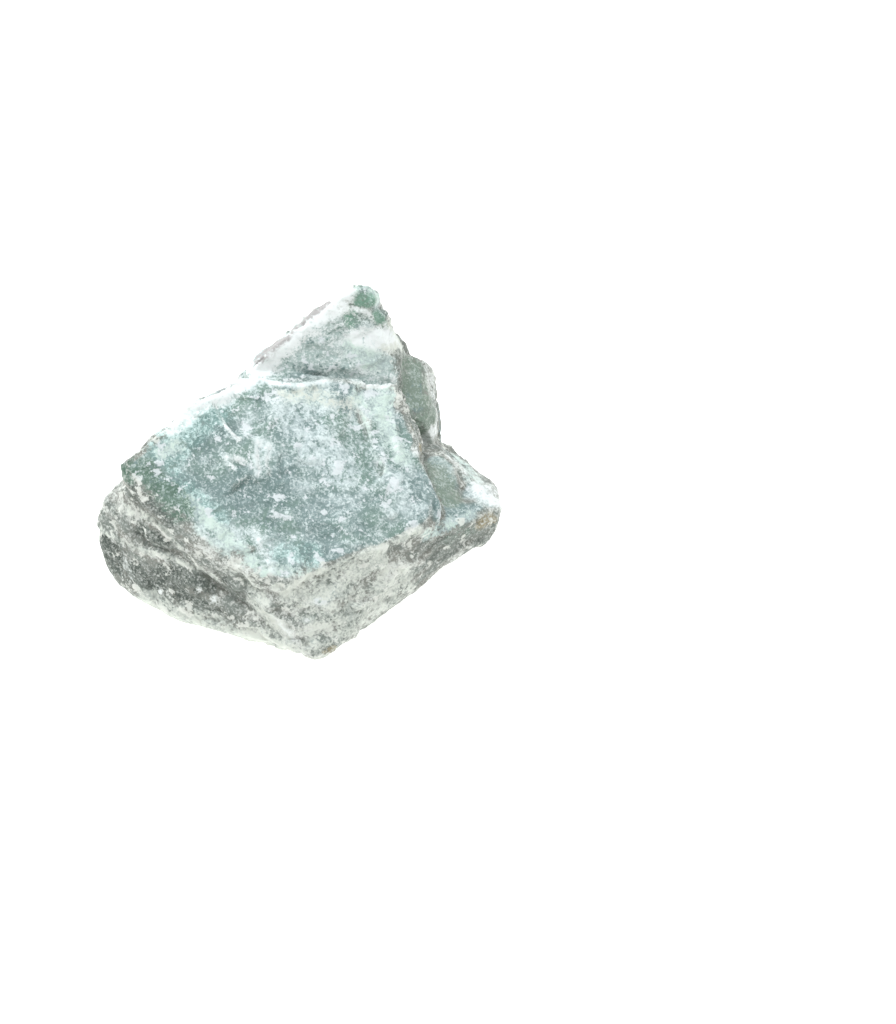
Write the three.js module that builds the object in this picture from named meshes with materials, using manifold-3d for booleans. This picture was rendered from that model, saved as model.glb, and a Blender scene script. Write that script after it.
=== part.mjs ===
// A chunk of raw green quartz (aventurine quartzite), broken out of a foliated vein.
//
// One solid stone: a thick slab whose top is a tilted parting face, on a broader foot with a rounded
// left end; a crest that rises behind the slab to the peak; two smooth swellings down the right of
// the crest; a low shoulder that runs out to a point on the right; and a low shelf at the back. It
// rests on a flat break.
//
// Units are millimetres. Corners are measured from the toe, the lowest corner at the front:
// +X to the right, +Y to the back, +Z up from the face the stone rests on.

import * as THREE from "three";
import Module from "manifold-3d";
import { ConvexGeometry } from "three/addons/geometries/ConvexGeometry.js";
import { ImprovedNoise } from "three/addons/math/ImprovedNoise.js";
import { mergeVertices } from "three/addons/utils/BufferGeometryUtils.js";

const wasm = await Module();
wasm.setup();

// The broken faces are never quite flat: each octave moves the surface by up to `reach`, changing
// over a distance of about `wavelength`.
const UNEVEN = [
  { reach: 0.6, wavelength: 11 },
  { reach: 0.35, wavelength: 4.5 },
];
const LONGEST_EDGE = 2.4; // of a triangle, once the faces are uneven
const FLOOR_BLOCK = { width: 120, height: 20 }; // cuts the stone off flat at the floor

// ---- solids ---------------------------------------------------------------------------------

// A closed three.js geometry as a manifold solid.
function solidOf(geometry) {
  const bare = geometry.clone();
  bare.deleteAttribute("normal");
  bare.deleteAttribute("uv");
  const merged = mergeVertices(bare, 1e-4);
  return new wasm.Manifold(
    new wasm.Mesh({
      numProp: 3,
      vertProperties: merged.attributes.position.array,
      triVerts: new Uint32Array(merged.index.array),
    }),
  );
}

// A block with flat broken faces: the convex solid that has these corners.
function block(corners) {
  return solidOf(new ConvexGeometry(corners.map((corner) => new THREE.Vector3(...corner))));
}

// An egg-shaped solid, to scoop a flake out with.
function egg(centre, radii, turn) {
  const ball = new THREE.SphereGeometry(1, 22, 14).scale(...radii);
  ball.applyMatrix4(new THREE.Matrix4().makeRotationFromEuler(new THREE.Euler(...turn)));
  return solidOf(ball.translate(...centre));
}

// ---- the stone's blocks ---------------------------------------------------------------------

// The broad foot. Its sides bulge a little above the floor and tuck in under the bulge, and its
// left end is clear of the floor.
const foot = block([
  [0, 1, -1],
  [7.5, 9.3, -1],
  [13.5, 16, -0.6],
  [-9, 4.5, -1],
  [-15, 7.7, -1],
  [-19.5, 11, 0.3],
  [-22, 15, 1.2],
  [-20.5, 22, 0.9],
  [-14, 28, -1],
  [-13, 16, -1.5],
  [0, -0.8, 0.9],
  [8, 7.2, 1],
  [14.6, 14, 1.2],
  [-3, -0.3, 1.6],
  [-9, 2.3, 1.7],
  [-15, 5.1, 1.7],
  [-21.2, 8.6, 1.8],
  [-24.2, 11.2, 2],
  [-25.7, 13.2, 3.6],
  [-26.2, 14.2, 6],
  [-26.2, 16, 8.8],
  [-25.2, 17.3, 10.3],
  [-25.5, 20, 4],
  [-23.5, 23.5, 6],
  [-1.5, 1.5, 1.8],
  [-6.3, 5, 4.3],
  [-10.6, 7.2, 5.5],
  [-15.3, 10, 8.3],
  [-18.4, 11.8, 10.5],
  [-4.4, 4, 7.1],
  [14.4, 15, 7],
  [-21, 18, 13],
  [-17, 27, 14],
  [-8, 33, 14],
  [9, 33, 10],
]);

// The slab: its top parts along the foliation, its left side is a bevel down to a sharp ridge, and
// a lip stands up along its back and right edges.
const slab = block([
  [-4.5, 4, 7.8],
  [4.5, 9.2, 8],
  [14.5, 14.9, 7.8],
  [15, 16.5, 8.5],
  [13, 21, 10],
  [9.8, 24.5, 11.3],
  [9.4, 28.5, 12.7],
  [9.6, 33.5, 14.3],
  [2.5, 34, 15.7],
  [-2.5, 32.3, 16],
  [-8.5, 33, 17.4],
  [-14.4, 26.8, 17.6],
  [-20.3, 20.6, 16.8],
  [-23.5, 17.8, 15.3],
  [-16, 13, 12.7],
  [-10.5, 9.5, 10.6],
  [-1.5, 1.1, 1.9],
  [-6.1, 4.5, 4.8],
  [-10.6, 6.7, 6.1],
  [-15.3, 9.4, 9],
  [-18.5, 11.2, 11.5],
  [-22.8, 17, 13],
  [4, 10.5, 5.5],
  [13.5, 16.5, 5.5],
  [14.5, 20, 6],
  [13, 25.5, 7],
  [11.5, 30, 8.5],
  [10.4, 34, 9],
  [-8, 32, 8],
  [-18, 22, 9],
]);

// The crest behind the slab. Its front face leans back to the ridge; behind the ridge it falls away.
const crest = block([
  [-9, 33, 17.4],
  [0, 34.5, 14],
  [9.2, 34.8, 12.7],
  [8.3, 38, 15.2],
  [-8.7, 33.3, 18.1],
  [-2.7, 38.5, 19.9],
  [2.7, 42.5, 22.5],
  [4.5, 43, 23],
  [6.2, 42.2, 22],
  [8.3, 41.6, 17.4],
  [9.9, 41.3, 15],
  [-10.5, 35, 15],
  [-4, 41.2, 16.3],
  [1.2, 44.2, 18.9],
  [3.2, 45.2, 19.6],
  [7.4, 45, 17],
  [9.8, 45, 12],
  [-14, 33, 7],
  [-5, 44.5, 6],
  [4, 46, 6],
  [11, 45.5, 4],
  [-3, 41.5, -0.4],
  [5, 44, -0.8],
  [10.5, 42, -0.8],
  [0, 28, 0],
]);

// The low shoulder on the right, which runs out to a point.
const shoulder = block([
  [22.2, 21.7, 4.3],
  [20.8, 19.5, 2],
  [14.7, 14.3, 1.3],
  [8, 8, 1],
  [9, 11.6, 6],
  [14.5, 15.2, 6.7],
  [21.3, 25.5, 4.7],
  [19.4, 28.7, 4.6],
  [17.2, 30.7, 4.7],
  [14.2, 34.3, 4.8],
  [9, 27, 9],
  [20.3, 29, 2.3],
  [17.5, 33, 2],
  [14.3, 38, 3],
  [17.5, 21.5, 0.4],
  [18, 26, 0.2],
  [15, 30, -0.8],
  [12.5, 39, -1],
  [5, 30, -1],
]);

// Two smooth swellings left by shell-like fracture: one down the right flank of the crest, and a
// lower one beside the slab's lip.
const flank = block([
  [9.6, 42.5, 12.8],
  [12, 42.6, 12],
  [9, 37, 11.4],
  [12.4, 38, 10.4],
  [14.1, 42.6, 9.7],
  [12.6, 45, 8.8],
  [7.5, 45, 11],
  [13.8, 36, 7.8],
  [12.6, 33.3, 8.4],
  [10.3, 33.5, 9.7],
  [14.4, 38, 4.8],
  [14.3, 42, 3],
  [13.6, 45.3, 4],
  [13.9, 33.5, 5.4],
  [6, 45.5, 5],
  [13.6, 37, -1],
  [12, 42.5, -0.4],
  [6, 44, -0.8],
  [5, 38, -1],
  [4, 40, 10],
]);
const swelling = block([
  [13.6, 28.5, 7.9],
  [15.4, 28, 7.6],
  [13.9, 24, 8],
  [16.5, 24.5, 6.9],
  [17.8, 27.3, 6],
  [16, 30.8, 6.1],
  [13.5, 32, 7],
  [18.8, 24.3, 5],
  [14.3, 20.5, 7.3],
  [16.8, 20.6, 6.1],
  [19.5, 26.8, 3.5],
  [17.6, 31.3, 3],
  [14.3, 35, 3],
  [17.5, 27, -1],
  [14, 33, -1],
  [10, 26, -1],
  [10, 28, 8],
]);

// The core that joins foot, crest and flank; only its back is seen.
const core = block([
  [-22, 18, 12.3],
  [-23.5, 22, 3],
  [-18, 30, 4],
  [-13, 29, -1],
  [-15.5, 28.5, 15.3],
  [-9.5, 34.6, 15.3],
  [-9, 39.5, 7],
  [-7, 37.5, -1],
  [1, 45.5, 9],
  [3, 43, -1],
  [10, 43, 9],
  [9, 33, 10],
  [13, 30, 5],
  [14.5, 24, -1],
  [12.5, 38, -1],
  [0, 10, -1],
  [-14, 14, -1],
  [0, 14, 5],
]);

// A low shelf at the back left, where the sheets under the crest stick out. Its top parts along them.
const shelf = block([
  [-17, 30, 6],
  [-13, 38.5, 7.8],
  [-9, 42.8, 8.4],
  [-3.5, 45.2, 8.2],
  [3, 45.3, 7.1],
  [-16.5, 30, 1.5],
  [-13.8, 38.8, 4],
  [-9.4, 43.4, 4.6],
  [-3.5, 45.6, 4.4],
  [-13, 36, -0.8],
  [-8, 41.5, -1],
  [-2, 44, -1],
  [-8, 30, 4.5],
  [0, 30, 3.2],
  [0, 30, -1],
]);

// Glassy steps that stand proud of the crest: the nub at the peak, and a facet under it.
const nub = block([
  [3.1, 40.9, 21],
  [6.2, 40.7, 20.7],
  [2.7, 41.4, 22.5],
  [6.9, 41, 22.3],
  [3.6, 42.9, 24],
  [6.2, 42.8, 23.8],
  [7.2, 42.6, 21.6],
  [2.6, 44, 20.6],
  [5, 45, 19.8],
  [7.4, 44.4, 18.2],
]);
const facet = block([
  [5.7, 41, 19.2],
  [6.2, 40.1, 18.3],
  [8.8, 40.9, 16.9],
  [5.8, 41.2, 20.9],
  [7.3, 41.3, 20.8],
  [8.3, 41.5, 19.1],
  [6.5, 43.5, 18],
]);

// Where a flake has come away between the slab's left corner and the foot.
const scoop = egg([-27, 21.5, 14], [4, 6, 2.4], [0.2, -0.5, 0]);

const blocks = [slab, crest, shoulder, flank, swelling, core, shelf, nub, facet];
const whole = blocks.reduce((sum, next) => sum.add(next), foot).subtract(scoop);

// ---- mesh -----------------------------------------------------------------------------------

// The mesh of a solid: its points, and its triangles as rows of three point numbers.
function meshOf(solid) {
  const { numProp, numVert, vertProperties, triVerts } = solid.getMesh();
  const points = [];
  for (let i = 0; i < numVert; i += 1) {
    points.push(new THREE.Vector3().fromArray(vertProperties, i * numProp));
  }
  const faces = [];
  for (let i = 0; i < triVerts.length; i += 3) {
    faces.push([triVerts[i], triVerts[i + 1], triVerts[i + 2]]);
  }
  return { points, faces };
}

function geometryOf({ points, faces }) {
  return new THREE.BufferGeometry().setFromPoints(points).setIndex(faces.flat());
}

// Splits one triangle at the middles of its sides; a side that stays whole has no middle.
function split([a, b, c], [ab, bc, ca]) {
  const cuts = [ab, bc, ca].filter((middle) => middle !== undefined).length;
  if (cuts === 0) return [[a, b, c]];
  if (cuts === 3) return [[a, ab, ca], [ab, b, bc], [ca, bc, c], [ab, bc, ca]];
  const turnFirst = ab === undefined || (cuts === 2 && ca !== undefined);
  if (turnFirst) return split([b, c, a], [bc, ca, ab]);
  if (cuts === 1) return [[a, ab, c], [ab, b, c]];
  return [[ab, b, bc], [a, ab, bc], [a, bc, c]];
}

// Halves every side longer than the limit, over and over, until none is.
function refine({ points, faces }, limit) {
  const middles = new Map();
  const middleOf = (a, b) => {
    const side = a < b ? `${a} ${b}` : `${b} ${a}`;
    if (!middles.has(side) && points[a].distanceTo(points[b]) > limit) {
      middles.set(side, points.length);
      points.push(points[a].clone().lerp(points[b], 0.5));
    }
    return middles.get(side);
  };
  let rows = faces;
  let before = 0;
  while (rows.length !== before) {
    before = rows.length;
    rows = rows.flatMap(([a, b, c]) =>
      split([a, b, c], [middleOf(a, b), middleOf(b, c), middleOf(c, a)]),
    );
    middles.clear();
  }
  return { points, faces: rows };
}

// ---- uneven faces and resting face ------------------------------------------------------------

const noise = new ImprovedNoise();
const OFFSETS = [11.3, 47.9, 83.1]; // takes a separate stretch of the noise for each direction

function unevenShift(point) {
  const shift = new THREE.Vector3();
  for (const { reach, wavelength } of UNEVEN) {
    const { x, y, z } = point.clone().divideScalar(wavelength);
    shift.add(new THREE.Vector3(...OFFSETS.map((from) => reach * noise.noise(x + from, y, z))));
  }
  return shift;
}

const surface = refine(meshOf(whole), LONGEST_EDGE);
for (const point of surface.points) {
  point.add(unevenShift(point));
}

const floor = solidOf(
  new THREE.BoxGeometry(FLOOR_BLOCK.width, FLOOR_BLOCK.width, FLOOR_BLOCK.height)
    .translate(0, 0, -FLOOR_BLOCK.height / 2),
);
const geometry = geometryOf(meshOf(solidOf(geometryOf(surface)).subtract(floor)));

// The origin is the middle of the stone's box, on the floor.
geometry.computeBoundingBox();
const middleOfBox = geometry.boundingBox.getCenter(new THREE.Vector3());
geometry.translate(-middleOfBox.x, -middleOfBox.y, 0);
geometry.computeVertexNormals();

const quartz = new THREE.MeshStandardMaterial({ color: 0x9db5ab, roughness: 0.62, metalness: 0 });
const stone = new THREE.Mesh(geometry, quartz);
stone.name = "green_quartz_stone";

const rawGreenQuartz = new THREE.Group();
rawGreenQuartz.name = "raw_green_quartz";
rawGreenQuartz.add(stone);
export default rawGreenQuartz;
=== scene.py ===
import math

import bmesh
import bpy
import numpy as np
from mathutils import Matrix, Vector


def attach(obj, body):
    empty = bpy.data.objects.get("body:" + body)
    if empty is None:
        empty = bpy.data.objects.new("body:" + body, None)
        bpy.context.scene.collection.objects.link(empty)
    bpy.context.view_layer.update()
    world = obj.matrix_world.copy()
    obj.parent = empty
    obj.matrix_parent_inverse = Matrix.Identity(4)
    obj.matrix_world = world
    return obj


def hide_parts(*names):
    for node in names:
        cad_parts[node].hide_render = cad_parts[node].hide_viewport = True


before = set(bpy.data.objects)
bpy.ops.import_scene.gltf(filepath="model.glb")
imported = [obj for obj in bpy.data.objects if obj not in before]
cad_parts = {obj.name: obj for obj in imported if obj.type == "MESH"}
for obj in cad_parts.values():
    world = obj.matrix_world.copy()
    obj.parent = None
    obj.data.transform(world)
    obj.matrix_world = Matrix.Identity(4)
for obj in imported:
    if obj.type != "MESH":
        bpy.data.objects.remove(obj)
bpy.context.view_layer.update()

bl_info = {
    "name": "Raw green quartz",
    "version": (1, 0, 0),
    "blender": (4, 5, 0),
    "location": "3D View > Sidebar > Quartz",
    "description": "A broken stone of green aventurine quartzite on a pale table",
    "category": "Add Mesh",
}

MM = 0.001
NODE = "green_quartz_stone"

# The finished mesh may never have more triangles than this.
MOST_TRIANGLES = 200000

# The stone splits along its foliation: this is the direction across the sheets, which the big
# parting face on top faces.
ACROSS_SHEETS = Vector((0.168, -0.292, 1.0)).normalized()

# How many times the points or normals of the net are drawn towards their neighbours': to round
# the flat cuts, to find which way to push a rim out, to find thin needles, and to find the near
# and the wide neighbourhood that a point stands out of.
ROUNDING_PASSES = 3
OUTWARD_PASSES = 12
NEEDLE_PASSES = 4
NEAR_PASSES = 3
WIDE_PASSES = 24

# How far a point stands off its neighbours, in millimetres, where a needle begins and where it is
# fully one.
NEEDLE = (0.1, 0.16)

# The point on the table that the camera looks at, in millimetres.
CAMERA_AIM = (17.503, 4.130, 0.0)

# The lamps, which are square and face the stone: place and side in metres, power in watts, colour.
LAMPS = (
    ("overhead", (-0.10, 0.18, 0.60), 0.50, 3.1, "#f4f9ff"),
    ("back_left", (-0.55, 0.40, 0.35), 0.30, 2.4, "#ffffff"),
)

# ---- places on the stone ---------------------------------------------------------------------
# Each stroke has a reach, a strength and a line of points, in millimetres from the middle of the
# resting face: the finish has that strength along the line, and has gone at the reach from it.
# Every finish is patchy, and a strength above 1 closes its gaps.

ZONES = {
    # Faces that parted along the sheets, or nearly: the slab's top and the crest's front.
    "parted": [
        (8.0, 1.0, [(-10.0, -1.0, 15.5), (-3.0, -2.0, 13.8), (6.0, 0.0, 12.8)]),
        (7.0, 1.0, [(-5.3, 10.8, 17.8), (-3.0, 11.6, 18.0), (2.0, 13.4, 18.2), (6.0, 15.0, 17.6)]),
        (4.0, 1.0, [(5.6, 13.0, 15.6), (8.6, 13.2, 14.4)]),
        (2.6, 1.0, [(5.4, 19.6, 23.4), (8.6, 19.4, 23.2), (9.6, 18.6, 20.5)]),
        (1.9, 1.0, [(16.4, -6.4, 8.4), (15.0, -2.3, 9.7), (13.6, -0.5, 10.5), (12.8, 1.0, 10.9)]),
    ],
    # The bevel down the slab's left, which breaks across the sheets.
    "bevel": [
        (2.6, 1.0, [(-19.6, -7.6, 13.6), (-17.5, -9.2, 12.6), (-14.8, -11.9, 11.4),
                    (-12.4, -14.0, 10.2), (-9.4, -15.9, 8.8), (-6.0, -17.8, 6.2)]),
    ],
    # Clear dark green quartz with a smooth shell-like break.
    "glassy": [
        (4.6, 1.0, [(12.6, 17.5, 12.0), (13.6, 14.5, 10.5), (15.2, 11.5, 8.0)]),
        (3.4, 1.0, [(16.0, 3.0, 7.4), (17.5, -1.0, 6.8)]),
        (1.7, 0.9, [(6.2, 18.5, 21.9), (8.0, 18.5, 21.8)]),
        (1.5, 0.9, [(8.8, 18.0, 19.8), (9.8, 18.0, 18.0)]),
    ],
    # Clear green quartz in the steps under the peak.
    "lens": [
        (1.9, 0.9, [(6.2, 18.4, 22.0), (7.8, 18.4, 22.0)]),
        (1.6, 0.9, [(8.8, 18.0, 19.8), (9.8, 18.0, 18.0)]),
        (1.9, 0.9, [(5.5, 17.1, 20.6), (5.7, 16.7, 19.8)]),
    ],
    # Flat grey painted shade on the thin facets behind the crest's struck edge and the slab's
    # upper-left edge, which turn away from the light.
    "skin": [
        (1.6, 0.9, [(-5.6, 11.8, 18.1), (-4.2, 13.0, 18.8), (-2.4, 14.3, 19.6)]),
        (1.2, 0.9, [(-2.4, 14.3, 19.6), (-0.6, 15.8, 20.4), (1.2, 17.3, 21.1), (2.6, 18.5, 21.7)]),
        (0.9, 0.8, [(-20.6, -4.6, 15.5), (-18.9, -2.6, 16.3), (-17.7, -1.7, 16.8)]),
        (1.3, 0.6, [(-10.4, 9.6, 15.2), (-9.0, 11.2, 15.3), (-7.8, 12.2, 15.4)]),
    ],
    # Deep green, where the green mica lies thick.
    "deep": [
        (3.0, 1.0, [(-20.0, -5.6, 14.8), (-18.1, -5.9, 14.8), (-16.6, -7.2, 13.9),
                    (-15.1, -8.7, 13.1), (-13.7, -10.2, 12.4)]),
        (4.0, 0.8, [(-3.0, 21.0, 12.5), (1.5, 22.4, 10.5)]),
        (4.0, 0.7, [(-21.5, 1.0, 8.0), (-18.5, 5.0, 8.0)]),
        (2.4, 0.45, [(17.6, -6.4, 5.2), (20.4, -4.8, 4.6)]),
    ],
    # Blue-green mica in the parting face, with fewer grains.
    "mica": [
        (3.4, 0.9, [(-13.1, -2.5, 15.2), (-11.4, -1.1, 15.6), (-9.5, 1.2, 16.0)]),
        (3.8, 0.9, [(-7.1, -5.6, 13.1), (-4.5, -6.6, 12.1), (-1.7, -7.3, 11.5)]),
        (3.0, 0.6, [(0.1, -9.8, 10.5), (3.6, -11.3, 9.4)]),
        (3.2, 0.6, [(-7.4, -9.6, 12.0), (-4.0, -9.8, 11.4), (-1.4, -13.0, 9.8)]),
        (2.4, 0.7, [(-5.4, 5.9, 16.4), (-4.5, 3.4, 15.8)]),
        (1.4, 0.5, [(0.4, 11.6, 16.0), (2.2, 11.8, 15.7), (4.3, 12.4, 15.5)]),
        (4.0, 0.9, [(-12.0, 14.0, 7.8), (-6.0, 19.5, 8.4), (0.0, 21.5, 7.8)]),
        (5.0, 0.6, [(13.0, 20.5, 6.0), (17.0, 15.0, 4.0)]),
    ],
    # Brighter blue-green mica under clear quartz.
    "aqua": [
        (4.5, 0.9, [(-15.6, -3.0, 15.6), (-13.6, 0.2, 16.2), (-10.6, 3.2, 16.8)]),
        (3.0, 0.7, [(-15.0, -6.4, 14.2), (-12.6, -8.4, 13.2), (-9.6, -11.2, 11.8)]),
        (3.4, 0.7, [(-1.4, -14.6, 9.2), (1.4, -14.4, 8.8)]),
        (2.4, 0.6, [(8.4, 9.4, 14.4), (9.6, 6.0, 13.2)]),
    ],
    # White bruised quartz along struck edges and scars. Along the crest's struck edge and the
    # slab's upper-left edge it is partly a painted highlight of these backlit edges, and one spot
    # on the right is painted light.
    "chalk": [
        # Partly bruised quartz, partly painted highlight: the backlit crest edge and the slab's
        # upper-left edge.
        (3.0, 1.0, [(-10.5, 5.4, 17.3), (-7.7, 8.8, 17.2), (-5.3, 10.8, 17.8), (-3.0, 13.4, 19.1),
                    (-0.6, 15.2, 20.4), (2.5, 17.5, 21.6), (4.4, 19.0, 22.4)]),
        (3.0, 0.9, [(-15.8, 0.4, 16.7), (-14.4, 2.2, 17.0), (-12.2, 4.8, 17.3),
                    (-9.4, 7.8, 17.2)]),
        (0.9, 0.5, [(-10.0, 3.2, 16.7), (-8.8, 1.1, 16.0), (-7.3, -0.7, 15.2)]),
        (0.7, 0.7, [(-6.6, 9.6, 16.9), (-4.0, 8.2, 16.9), (-0.4, 8.3, 16.4), (2.6, 10.0, 15.8),
                    (4.9, 10.2, 15.2), (10.6, 10.8, 14.3)]),
        (2.6, 0.9, [(9.8, 17.4, 17.4), (8.2, 16.4, 17.6)]),
        # Painted light: a pale spot on a face turned to the right, which lies in shade.
        (1.6, 0.5, [(11.1, 18.3, 16.3), (11.5, 18.4, 15.4)]),
        (1.3, 0.8, [(5.0, 16.6, 18.4), (6.6, 15.6, 17.8)]),
        (3.0, 0.7, [(21.4, 2.6, 5.6), (22.6, 0.4, 5.2)]),
        (1.8, 0.6, [(19.4, 4.4, 6.4), (17.6, 6.4, 6.6)]),
        (1.2, 0.8, [(5.0, 17.8, 21.2), (4.0, 17.6, 21.2)]),
        (1.1, 0.6, [(5.0, 19.8, 23.4), (7.0, 20.0, 23.8), (8.8, 19.6, 23.2)]),
        (0.6, 0.8, [(5.6, 18.2, 21.0), (7.4, 17.9, 20.6), (8.2, 17.7, 19.6), (8.4, 17.4, 18.2)]),
        (1.0, 0.6, [(-8.6, -3.2, 14.4), (-8.0, -4.2, 14.0)]),
        (0.8, 0.7, [(-7.6, -3.0, 14.4), (-6.7, -3.4, 14.1)]),
        (1.0, 0.4, [(-5.1, -11.7, 10.5), (-4.2, -14.3, 9.7), (-2.9, -16.7, 8.6)]),
        (1.3, 0.5, [(13.6, 2.2, 11.2)]),
        (1.6, 0.9, [(14.6, 10.9, 6.2), (15.6, 11.0, 7.0), (16.2, 12.4, 6.6)]),
        (1.7, 0.45, [(14.2, 20.0, 10.8), (15.2, 18.0, 9.8), (16.2, 15.4, 8.4), (16.4, 11.6, 6.4)]),
        (2.2, 0.55, [(17.6, 9.4, 5.0), (19.6, 7.0, 5.0), (21.0, 5.0, 5.1), (22.4, 3.0, 5.2)]),
        (0.8, 0.5, [(-4.6, -18.4, 5.6), (-2.6, -20.0, 4.4), (-0.6, -21.6, 2.6), (0.6, -22.4, 1.4)]),
        (0.9, 0.45, [(-5.0, -0.1, 14.8), (-5.2, -2.7, 14.1), (-4.8, -4.8, 13.2)]),
        (0.9, 0.45, [(-3.8, -0.6, 14.4), (-4.0, -3.0, 13.7), (-3.5, -5.1, 12.7)]),
        (1.0, 0.6, [(-20.8, -11.2, 5.4), (-20.3, -11.9, 4.6), (-19.9, -12.6, 3.9)]),
        (0.8, 0.9, [(-11.6, -16.2, 5.5)]),
        (0.9, 0.8, [(-9.9, -17.2, 4.5)]),
        (0.7, 0.7, [(-16.4, -14.9, 3.7)]),
    ],
    # Pale mint quartz, clear of mica.
    "mint": [
        (2.8, 0.8, [(6.8, 8.9, 14.6), (8.6, 7.9, 13.8)]),
        (3.2, 0.5, [(-1.4, 6.8, 16.0), (2.4, 7.6, 15.5)]),
        (2.8, 0.75, [(5.8, 14.6, 17.0), (8.8, 14.4, 15.6)]),
        (2.2, 0.9, [(9.9, 9.6, 14.1), (9.7, 6.0, 13.0), (10.8, 2.4, 12.0), (12.0, 0.8, 11.2)]),
        (2.0, 0.7, [(-16.2, -3.4, 15.4), (-14.6, -2.4, 15.6)]),
        (1.5, 0.85, [(-13.2, -9.0, 12.9), (-11.2, -11.1, 12.1), (-8.5, -13.0, 10.9),
                     (-6.1, -15.1, 9.8), (-4.1, -16.8, 8.7)]),
        (2.0, 0.6, [(-2.6, -16.6, 8.4), (0.4, -16.2, 7.9)]),
        (1.4, 0.4, [(-12.4, -12.2, 11.4), (-9.4, -14.2, 10.2), (-6.4, -16.2, 8.8)]),
        (0.9, 0.6, [(4.6, 9.6, 15.0), (7.5, 5.3, 13.5), (8.7, 0.1, 12.3), (10.0, -1.8, 11.4)]),
        (3.0, 0.65, [(17.0, 9.0, 5.8), (19.2, 6.4, 5.6), (20.8, 3.6, 5.8)]),
        (1.6, 0.9, [(15.0, -8.6, 7.2), (16.5, -7.2, 6.9), (18.0, -5.2, 6.5), (20.2, -3.6, 6.0)]),
        (2.0, 1.0, [(5.4, 19.4, 23.2), (6.6, 19.8, 23.8), (8.6, 19.4, 23.2), (9.4, 19.0, 21.6)]),
    ],
    # Patches clouded by fine quartz.
    "haze": [
        (5.5, 0.7, [(-0.5, 4.0, 15.0), (1.0, 0.8, 14.0), (4.6, -2.7, 12.2)]),
        (5.0, 0.4, [(6.9, 3.6, 13.3), (10.0, -0.9, 11.6), (11.8, -4.3, 10.5), (14.2, -5.7, 9.4)]),
        (6.0, 0.7, [(-8.0, 13.5, 12.5), (4.0, 22.0, 14.0)]),
        (1.7, 1.0, [(-11.8, 8.4, 15.2), (-9.4, 10.4, 15.2), (-7.8, 12.0, 15.4),
                    (-6.6, 12.6, 16.4)]),
    ],
    # Mica clouded by fine quartz, with the larger grains still clear of it.
    "veil": [
        (5.0, 1.3, [(5.0, 14.8, 18.0), (7.0, 13.6, 16.0), (8.5, 13.5, 14.9)]),
        (4.0, 1.2, [(-3.0, 12.4, 18.0), (0.5, 13.8, 18.3), (2.6, 13.4, 17.2)]),
    ],
    # Pale quartz a little warm in tone, and a painted highlight along the slab's front edge.
    "cream": [
        (3.2, 0.45, [(-2.2, 6.6, 16.2), (0.8, 7.8, 15.9), (3.8, 7.5, 15.2), (5.6, 6.9, 14.6)]),
        (2.6, 1.0, [(9.6, 16.6, 17.0), (10.6, 17.2, 16.2)]),
        (2.2, 1.0, [(10.6, 18.6, 17.4), (11.4, 18.2, 16.0), (12.0, 18.6, 15.0)]),
        (2.2, 0.5, [(-22.2, -7.0, 10.0), (-20.4, -7.6, 10.6)]),
        (1.8, 0.55, [(-7.6, -16.2, 8.2), (-5.4, -17.7, 7.0), (-3.6, -19.0, 5.6)]),
        (0.9, 0.9, [(-19.8, -8.2, 10.3), (-17.8, -9.2, 10.6), (-16.3, -10.8, 10.4),
                    (-14.8, -12.0, 9.8), (-13.9, -12.9, 9.1)]),
        (0.8, 0.65, [(-23.6, -8.0, 7.3), (-22.6, -8.8, 7.4), (-21.1, -9.9, 7.4)]),
        (0.8, 0.8, [(-21.1, -9.9, 7.4), (-18.1, -11.7, 7.1), (-15.4, -12.9, 7.6),
                    (-13.9, -14.0, 7.4), (-12.1, -14.9, 7.4), (-9.7, -16.2, 6.7)]),
        (3.4, 0.8, [(-0.4, -18.4, 6.4), (1.4, -18.0, 6.0), (3.7, -16.8, 6.4), (6.0, -15.3, 6.8),
                    (9.5, -12.8, 7.2)]),
        (6.0, 0.65, [(2.6, -20.7, 2.9), (4.9, -19.2, 3.1), (8.3, -16.3, 3.7), (11.8, -13.2, 3.3)]),
        # Painted highlight: the thin pale line along the slab's front edge.
        (0.9, 0.9, [(-2.4, -18.1, 7.3), (1.4, -16.8, 7.6), (4.9, -14.8, 8.0), (10.1, -11.5, 8.0),
                    (14.2, -8.8, 8.2)]),
        (3.6, 0.5, [(-4.0, 22.0, 2.5), (3.0, 22.5, 3.0), (9.0, 22.0, 3.0)]),
        (3.0, 0.4, [(-21.8, -3.0, 3.0), (-16.5, 6.5, 2.5), (-12.0, 13.0, 2.0)]),
        (4.0, 1.0, [(-18.0, -15.0, 1.2), (-11.6, -18.6, 1.0), (-6.8, -20.6, 1.0),
                    (-2.0, -22.4, 0.8)]),
        (1.5, 0.9, [(-5.2, -18.2, 5.4), (-3.2, -19.8, 4.2), (-1.2, -21.4, 2.6)]),
    ],
    # Rust from iron in the seams.
    "iron": [
        (0.7, 1.0, [(12.7, 6.1, 12.0), (13.0, 5.2, 11.6)]),
        (0.9, 1.0, [(14.0, 4.6, 10.0), (14.2, 3.6, 9.8)]),
        (1.7, 0.8, [(23.0, -2.4, 4.6), (21.6, -3.9, 4.8)]),
        (1.0, 1.0, [(3.4, -22.4, 0.9), (4.2, -21.8, 0.8)]),
        (0.9, 0.8, [(-14.5, 8.0, 5.4), (-11.4, 16.2, 5.2), (-7.6, 20.6, 5.0)]),
        (1.2, 0.7, [(11.8, 21.8, 8.0), (13.6, 20.6, 5.0)]),
    ],
    # Blotches, dark where the sheets are rich in mica, and painted shade in the groove under the
    # bevel's overhanging edge and in the hollow beside the glassy lobe.
    "dusk": [
        (3.5, 0.85, [(-24.0, -8.6, 5.0), (-23.4, -9.6, 5.0), (-21.7, -11.1, 4.5),
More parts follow.
